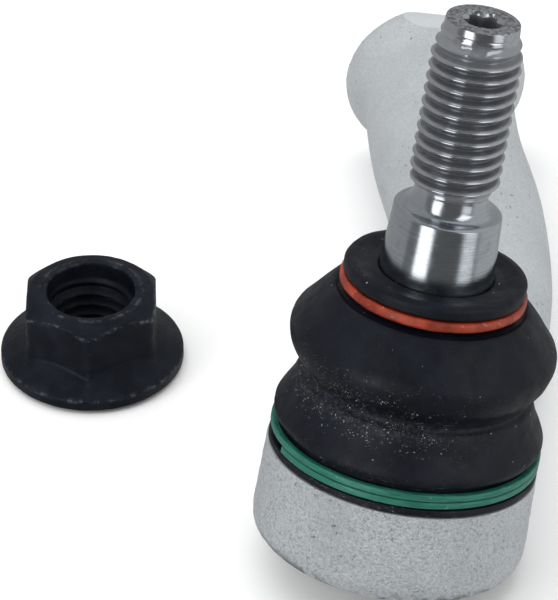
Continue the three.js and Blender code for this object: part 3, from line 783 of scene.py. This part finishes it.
def cavity():
    """The inside of the housing: crimped cap recess, seat bore and throat."""
    low = HOUSING_BOTTOM_Z
    return lathe("cavity", [
        (AXIS_R, low - 1), (CRIMP_R, low - 1), (CRIMP_R, low + 0.12), (CRIMP_R + 0.35, low + 0.52),
        (CAP_BORE_R, low + 0.75), (CAP_BORE_R, CAP_SHOULDER_Z), (SEAT_BORE_R, CAP_SHOULDER_Z),
        (SEAT_BORE_R, SEAT_BORE_TOP_Z), (MOUTH_R, THROAT_Z), (THROAT_R, THROAT_Z),
        (THROAT_R, THROAT_Z + 0.6), (MOUTH_R, COLLAR_TOP_Z + 1), (AXIS_R, COLLAR_TOP_Z + 1)], 128)


def face_vectors(mesh, field):
    values = np.zeros(len(mesh.polygons) * 3)
    mesh.polygons.foreach_get(field, values)
    return values.reshape(-1, 3)


def machined_faces(mesh):
    """True for the faces that a tool has cut: spot face, collar and inside, wrench flats, rod thread."""
    centres, normals = face_vectors(mesh, "center"), face_vectors(mesh, "normal")
    head_axes = np.array([HEAD_SIDE, HEAD_UP, HEAD_AHEAD]).T
    at_head = (centres - arm_centre(1)) @ head_axes
    head_normal = np.abs(normals @ head_axes)
    height = centres[:, 2]
    spot_face = (np.abs(height - RIM_Z) < 0.03) & (np.abs(normals[:, 2]) > 0.95)
    cup = (np.hypot(centres[:, 0], centres[:, 1]) < COLLAR_R + 0.03) & (height > HOUSING_BOTTOM_Z + 0.2)
    on_flat = np.abs(np.abs(at_head[:, 1]) - WRENCH_FLAT_HALF) < 0.05
    flats = on_flat & (head_normal[:, 1] > 0.97) & (at_head[:, 2] > 0.6)
    rod_bore = (np.hypot(at_head[:, 0], at_head[:, 1]) < ROD_THREAD_MAJOR_R + 1.15) & (at_head[:, 2] > -26)
    return spot_face | cup | flats | rod_bore


def housing():
    forging = forged_blank()
    spot_face = lathe("spot_face", [(COLLAR_R - 6, RIM_Z), (SPOT_FACE_R, RIM_Z, 0.6), (SPOT_FACE_R + 1.5, 12),
                                    (COLLAR_R - 6, 12)], 160, closed=True)
    combine(forging, spot_face, "DIFFERENCE")
    collar = lathe("collar", [(7, RIM_Z - 3), (COLLAR_R, RIM_Z - 3), (COLLAR_R, COLLAR_TOP_Z, 0.5),
                              (7, COLLAR_TOP_Z)], 128, closed=True)
    combine(forging, collar, "UNION")
    for cutter in (cavity(), flat_cutter(1), flat_cutter(-1), rod_thread_cutter()):
        combine(forging, cutter, "DIFFERENCE")
    mark(forging, "machined", machined_faces(forging.data), "FACE")
    forging.data.transform(LOCAL)
    shade(forging, 38)
    return forging


def closing_cap():
    low, edge_r = HOUSING_BOTTOM_Z + 0.2, CAP_BORE_R - 0.2
    return lathe("closing_cap_pressed", [
        (0.6, low + 0.55), (8.0, low + 0.55, 0.8), (9.3, low + 0.05, 0.6), (12.6, low + 0.05, 0.5),
        (13.3, low + 0.62, 0.4), (edge_r, low + 0.66, 0.15), (edge_r, low + 1.7, 0.15), (9.4, low + 1.7, 0.6),
        (8.2, low + 2.0, 0.6), (0.6, low + 2.0),
    ], 128, LOCAL, spacing=0.5)


# ---- boot and rings --------------------------------------------------------

def boot():
    lip = [(7.68, 26.5, 0.05), (7.95, 26.62, 0.15), (9.0, 26.55, 0.9), (11.0, 27.02, 0.8),
           (12.1, 26.85, 0.55), (12.1, 25.2, 0.25), (10.9, 25.2, 0.15), (10.9, 23.3, 0.2)]
    upper = spline([(12.3, 22.8), (13.4, 22.6), (16.3, 19.2), (17.7, 17), (17.1, 14.1), (15.5, 12)], 7)
    crease = [(14.9, 10.9, 0.5)]
    lower = spline([(15.7, 10.3), (16.4, 8.2), (17.4, 6.3), (18, 4.8), (17.7, 3.8)], 7)
    base = [(16.85, 3.5, 0.3), (16.85, 0.65, 0.2), (18, 0.65, 0.2), (18, -0.3, 0.15), (16.25, -0.3, 0.1),
            (16.25, 4.8), (15.25, 4.8)]
    lower_in = spline([(15.3, 5.6), (16.2, 6.3), (15.6, 8), (14, 9.4), (13.2, 10.8)], 4)
    upper_in = spline([(13.6, 12), (15.3, 13.8), (16.1, 16.8), (15, 19.3), (13.2, 21.1), (10.9, 21.6)], 4)
    lip_in = [(10.15, 21.6), (10.15, 24.5), (8.75, 24.5), (8.75, 22.3), (8.25, 22.3, 0.2), (7.86, 24.4)]
    outline = [*lip, *upper, *crease, *lower, *base, *lower_in, *upper_in, *lip_in]
    rows = contour(outline, 1, 4, 0.4, True)
    obj = grid("boot_rubber", revolved(rows, 192), round_rows=True)
    roughened(obj, [(7.0, 0.05), (2.2, 0.018)], 31)
    obj.data.transform(LOCAL)
    shade(obj, 60)
    return obj


def upper_ring():
    inner_r, outer_r, low, high = 11.1, 12.4, 23.53, 24.97
    obj = lathe("clamp_ring_upper", [(inner_r, low, 0.2), (outer_r, low, 0.5), (outer_r, high, 0.5),
                                     (inner_r, high, 0.2)], 160, closed=True, spacing=0.25)
    roughened(obj, [(6.0, 0.045)], 41)
    obj.data.transform(LOCAL)
    return obj


def lower_ring():
    """A flat strip wound round the boot's base."""
    inner_r, outer_r, strip, low = 17.15, 18.05, 0.94, 0.68
    start, turns, pitch = math.radians(206), 1.78, 1.02
    section = contour([(inner_r, 0, 0.12), (outer_r, 0, 0.2), (outer_r, strip, 0.2),
                       (inner_r, strip, 0.12)], 1, 4)[:, 0]
    rings = []
    for angle in np.linspace(0, turns * TAU, 340):
        turn = start + angle
        rise = low + angle / TAU * pitch
        rings.append([(r * math.cos(turn), r * math.sin(turn), rise + h) for r, h in section])
    obj = grid("clamp_ring_lower", np.array(rings))
    obj.data.transform(LOCAL)
    shade(obj, 50)
    return obj


# ---- flange nut ------------------------------------------------------------

def nut_outside(hexagon):
    """Bearing face, flange, hexagon, chamfer and crown, for the hexagon's radius at each column."""
    level = 0 * hexagon
    shoulder = chamfer_height(hexagon)
    fillet = 4.5 - (hexagon - 9.3) * 0.644
    return contour([
        (7.2 + level, 0.12), (8.4 + level, 0.0, 0.2), (FLANGE_R - 0.9 + level, 0, 0.3),
        (FLANGE_R + level, 0.7, 0.4), (FLANGE_R + level, 2.2, 0.3), (hexagon, fillet, 0.7),
        (hexagon, shoulder, 0.22), (SHOULDER_R + level, NUT_HEIGHT - CROWN_DROP, 0.6),
        (CROWN_R + level, NUT_HEIGHT, 0.35), (6.35 + level, NUT_HEIGHT, 0.12),
    ], len(hexagon), 6, 0.42)


def chamfer_height(hexagon):
    """Where the chamfer meets a hexagon of this radius."""
    return NUT_HEIGHT - CROWN_DROP - (hexagon - SHOULDER_R) * CHAMFER_SLOPE


def nut_bore(theta):
    """The threaded hole from the top down, with a lead-in at each end."""
    cols = len(theta)
    level = 0 * theta
    z = np.arange(NUT_HEIGHT - 1.0, 0.99, -THREAD_PITCH / 14)[:, None]
    phase = z / THREAD_PITCH - theta[None, :] / TAU
    ends = smoothstep(z, 0.8, 2.2) * (1 - smoothstep(z, NUT_HEIGHT - 4.2, NUT_HEIGHT - 1.8))
    radius = THREAD_R + 0.16 - (THREAD_R - THREAD_ROOT_R) * ends * thread_height(phase)
    bore = np.stack([radius, z + 0 * radius], -1)
    lead_in = contour([(6.24 + level, NUT_HEIGHT - 0.12), (6.16 + level, NUT_HEIGHT - 0.8)], cols, 3, 0.3)
    lead_out = contour([(6.2 + level, 0.8), (6.5 + level, 0.2)], cols, 3, 0.3)
    return np.concatenate([lead_in, bore, lead_out])


def nut_wear(co, theta, hexagon):
    """How worn each point is: the chamfer's edge, flange, corners, hole and crown."""
    around, height = np.hypot(co[:, 0], co[:, 1]), co[:, 2]
    turn = np.arctan2(co[:, 1], co[:, 0])
    hex_here = np.interp(turn % TAU, np.append(theta, TAU), np.append(hexagon, hexagon[0]))
    on_hexagon = around > hex_here - 0.4
    chamfer = np.exp(-((height - chamfer_height(hex_here)) / 0.13) ** 2) * on_hexagon
    flange = np.exp(-(np.hypot(around - (FLANGE_R - 0.08), height - 2.12) / 0.18) ** 2)
    corners = np.exp(-((hexagon.max() - hex_here) / 0.10) ** 2) * on_hexagon * (height > 3.4)
    crown = np.exp(-((around - CROWN_R) / 0.22) ** 2) * (height > NUT_HEIGHT - 0.3)
    hole = np.exp(-(np.hypot(around - 6.3, height - NUT_HEIGHT) / 0.2) ** 2)
    return np.clip(chamfer + 0.7 * flange + 0.12 * corners + 0.35 * hole + 0.6 * crown, 0, 1)


def flange_nut():
    cols = 216
    theta = angles(cols)
    facing = np.array([np.maximum(np.cos(theta - k * TAU / 6), 0) for k in range(6)])
    hexagon = NUT_HALF_FLATS / (facing ** HEXAGON_POWER).sum(0) ** (1 / HEXAGON_POWER)
    rows = np.concatenate([nut_outside(hexagon), nut_bore(theta)])
    obj = grid("flange_nut_black", revolved(rows, cols), round_rows=True)
    roughened(obj, [(5.0, 0.02), (1.3, 0.008)], 51)
    mark(obj, "edge", nut_wear(np.array([v.co for v in obj.data.vertices]), theta, hexagon))
    obj.data.transform(NUT)
    shade(obj, 50)
    return obj


# ---- assembly --------------------------------------------------------------

PIECES = [
    (housing, zinc_forging, "housing", "zinc_coated_steel", "housing_body"),
    (closing_cap, pressed_steel, "closing_cap", "cap_steel", "housing_body"),
    (lower_ring, green_coating, "lower_clamp_ring", "green_ring", "housing_body"),
    (upper_ring, red_elastomer, "upper_clamp_ring", "red_ring", "boot_lip_body"),
    (stud, turned_steel, "ball_stud", "bright_steel", "stud_body"),
    (flange_nut, black_phosphate, "flange_nut", "black_phosphate", "nut_body"),
]
for make, material, node, slot, body in PIECES:
    piece = dress(make(), material())
    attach(piece, body)
    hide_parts(node)

boot_piece = dress(boot(), rubber())
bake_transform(boot_piece)
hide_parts("dust_boot")

INSIDE = [
    ("preload_spring", spring_steel),
    ("ball_seat_lower", seat_plastic),
    ("ball_seat_upper", seat_plastic),
    ("boot_lip_insert", pressed_steel),
    ("boot_base_insert", pressed_steel),
]
for node, material in INSIDE:
    frame["nodes"][node].data.materials.clear()
    frame["nodes"][node].data.materials.append(material())

# ---- studio ----------------------------------------------------------------

# Metres
FLOOR_HALF = 3.0
TENT_R = 2.2
CAMERA_FROM_BALL = Vector((-0.0164272, -0.5175851, 0.4147915))

WORLD_STRENGTH = 0.75

# How brightly the parts of the reflection tent glow, with the azimuth and then the height that each
# covers, in degrees, as (low, high, softness). Azimuth is 0 at the camera's side and grows to the right.
# The poles are the small fans that close the tent at the bottom and the top
TENT_BASE = 0.12
TENT_WALLS = [(0.22, (-260, -76, 4)), (0.06, (-76, -56, 3)), (0.36, (66, 136, 6)), (0.25, (136, 260, 6))]
TENT_PANELS = [
    (2.0, (-53, -26, 2), (-18, 56, 2)),
    (0.95, (33, 62, 6), (-24, 8, 3)),
    (1.6, (38, 70, 4), (12, 52, 4)),
]
TENT_ROOF = (0.14, (62, 100, 6))
TENT_POLES = (0.10, 0.16)

CAMERA_TILT_DEG = 53
FRAME_WIDTH_PX, FOCAL_PX, SENSOR_MM = 558, 5000, 36


def floor_look():
    look = Look("pale_floor", Matrix.Identity(4))
    tone = look.mix(look.noise(3.0, 3), (0.955, 0.955, 0.955), (0.98, 0.98, 0.98))
    return look.finish(tone, 0.9, None, None)


def lay_floor():
    corners = [(-FLOOR_HALF, -FLOOR_HALF, 0), (FLOOR_HALF, -FLOOR_HALF, 0), (FLOOR_HALF, FLOOR_HALF, 0),
               (-FLOOR_HALF, FLOOR_HALF, 0)]
    floor = mesh_object("floor", corners, [[0, 1, 2, 3]])
    floor.data.materials.append(floor_look())
    floor.visible_glossy = False


def softbox(name, place, aim, width, length, power):
    """A soft light that no reflection shows, in metres and watts."""
    light = bpy.data.lights.new(name, "AREA")
    light.shape, light.size, light.size_y, light.energy = "RECTANGLE", width, length, power
    obj = bpy.data.objects.new(name, light)
    scene.collection.objects.link(obj)
    obj.location = place
    obj.rotation_euler = (Vector(aim) - Vector(place)).to_track_quat("-Z", "Y").to_euler()
    obj.visible_camera = False
    obj.visible_glossy = False


def pale_room():
    world = bpy.data.worlds.new("pale_room")
    world.use_nodes = True
    background = world.node_tree.nodes["Background"]
    background.inputs["Color"].default_value = (1, 1, 1, 1)
    background.inputs["Strength"].default_value = WORLD_STRENGTH
    scene.world = world


def window(value, low, high, soft):
    return smoothstep(value, low - soft, low + soft) * (1 - smoothstep(value, high - soft, high + soft))


def tent_glow(azimuth, height):
    """Brightness of the tent at each azimuth and height."""
    glow = TENT_BASE + 0 * azimuth + 0 * height
    for bright, span in TENT_WALLS:
        glow = glow + bright * window(azimuth, *span)
    for bright, span, rise in TENT_PANELS:
        glow = np.maximum(glow, bright * window(azimuth, *span) * window(height, *rise))
    bright, rise = TENT_ROOF
    return np.maximum(glow, bright * window(height, *rise))


def tent_material():
    material = bpy.data.materials.new("reflection_tent")
    material.use_nodes = True
    nodes, links = material.node_tree.nodes, material.node_tree.links
    nodes.clear()
    source = nodes.new("ShaderNodeAttribute")
    emit = nodes.new("ShaderNodeEmission")
    out = nodes.new("ShaderNodeOutputMaterial")
    source.attribute_name = "glow"
    links.new(source.outputs["Color"], emit.inputs["Color"])
    links.new(emit.outputs[0], out.inputs["Surface"])
    return material


def reflection_tent():
    """The panels of a light tent, seen only as reflections in the metal and rubber."""
    cols, rows = 240, 121
    azimuth = np.linspace(-180, 180, cols, endpoint=False)[None, :]
    height = np.linspace(-89, 89, rows)[:, None]
    a, e = np.radians(azimuth), np.radians(height)
    points = np.stack([np.sin(a) * np.cos(e), -np.cos(a) * np.cos(e), np.sin(e) + 0 * a], -1) * TENT_R
    obj = grid("reflection_tent", points)
    values = np.ones((rows * cols + 2, 4))
    values[: rows * cols, :3] = tent_glow(azimuth, height).reshape(-1, 1)
    values[rows * cols:, :3] = np.array(TENT_POLES)[:, None]
    obj.data.color_attributes.new("glow", "FLOAT_COLOR", "POINT").data.foreach_set("color", values.ravel())
    obj.data.materials.append(tent_material())
    obj.visible_camera = obj.visible_diffuse = obj.visible_shadow = obj.visible_transmission = False


def place_camera():
    data = bpy.data.cameras.new("camera")
    data.sensor_fit, data.sensor_width = "HORIZONTAL", SENSOR_MM
    data.lens = FOCAL_PX / FRAME_WIDTH_PX * SENSOR_MM
    data.clip_start, data.clip_end = 0.01, 20
    camera = bpy.data.objects.new("camera", data)
    camera.location = BALL + CAMERA_FROM_BALL
    camera.rotation_euler = Euler((math.radians(CAMERA_TILT_DEG), 0, 0))
    scene.collection.objects.link(camera)
    scene.camera = camera


lay_floor()
softbox("overhead", (-0.2, 0.1, 1.3), (0, 0, 0), 1.4, 1.4, 9)
softbox("left", (-1.0, -0.5, 0.7), (0, 0, 0.03), 0.5, 0.9, 4)
softbox("right", (1.0, -0.3, 0.6), (0, 0, 0.03), 0.5, 0.9, 2)
pale_room()
reflection_tent()
place_camera()
scene.view_settings.view_transform = "Standard"
